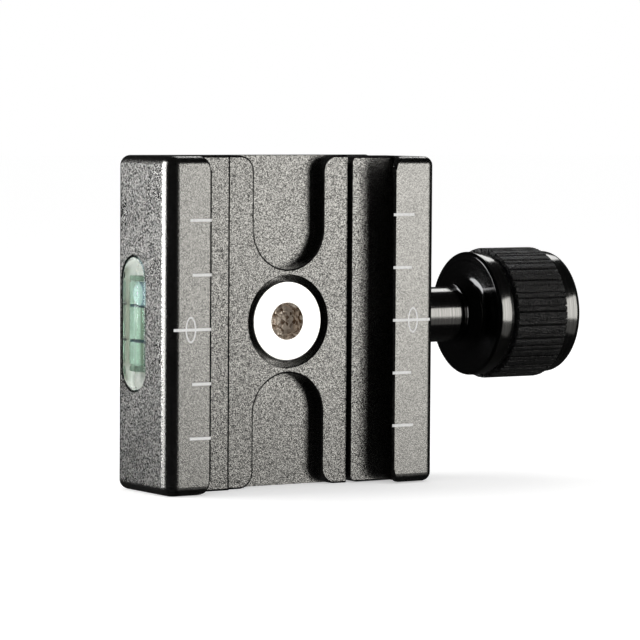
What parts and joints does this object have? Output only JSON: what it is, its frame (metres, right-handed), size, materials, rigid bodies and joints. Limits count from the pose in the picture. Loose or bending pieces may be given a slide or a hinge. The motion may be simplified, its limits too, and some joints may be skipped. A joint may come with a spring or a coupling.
{
  "type": "dovetail quick release clamp",
  "caption": "Small clamp for dovetail camera plates: grooved body with a sliding jaw, a knurled knob on a side screw and a bubble level.",
  "frame": {"origin": "the mounting hole's axis, in the face that sits on the tripod head, halfway along the channel", "axes": "+X from the fixed jaw to the knob, -Y out of the channel towards the plate, +Z along the channel, up as it stands on its end"},
  "size_m": [0.0755, 0.0212, 0.05],
  "materials": {
    "body_anodised": "bead-blasted anodised",
    "knob_anodised": "bead-blasted anodised",
    "dark_steel": "blackened",
    "bright_steel": "ground",
    "grip_rubber": "matt, ribbed",
    "white_fill": "paint in engraving",
    "level_clear": "polished clear acrylic",
    "level_liquid": "green spirit",
    "level_air": "air bubble",
    "level_black": "matt black ink"
  },
  "bodies": {
    "base": {"base_body": "body_anodised", "fixed_jaw_marks": "white_fill", "guide_pin_upper": "bright_steel", "guide_pin_lower": "bright_steel", "return_spring_upper": "bright_steel", "return_spring_lower": "bright_steel", "vial_body": "level_clear", "vial_liquid": "level_liquid", "vial_bubble": "level_air", "vial_rings": "level_black", "vial_plug": "level_clear"},
    "jaw": {"movable_jaw": "body_anodised", "movable_jaw_marks": "white_fill", "thrust_washer": "bright_steel"},
    "knob": {"clamp_screw": "dark_steel", "spacer_sleeve": "knob_anodised", "knob_body": "knob_anodised", "knob_set_screw": "dark_steel", "knob_grip": "grip_rubber"},
    "mount_screw": {"mounting_screw": "bright_steel", "screw_retainer": "dark_steel"}
  },
  "joints": [
    {"name": "jaw_slide", "type": "slide", "parent": "base", "child": "jaw", "axis": [1, 0, 0], "range_m": [-0.0001, 0.0055], "deforming": ["return_spring_upper", "return_spring_lower"]},
    {"name": "knob_turn", "type": "hinge", "parent": "jaw", "child": "knob", "pos_m": [0.04, -0.00495, 0], "axis": [1, 0, 0], "range_deg": [-45.5, 2475.5]},
    {"name": "mount_screw_turn", "type": "hinge", "parent": "base", "child": "mount_screw", "pos_m": [0, 0, 0], "axis": [0, 1, 0], "continuous": true}
  ],
  "couplings": [
    {"joint": "knob_turn", "follows": "jaw_slide", "rad_per_m": 7854}
  ]
}
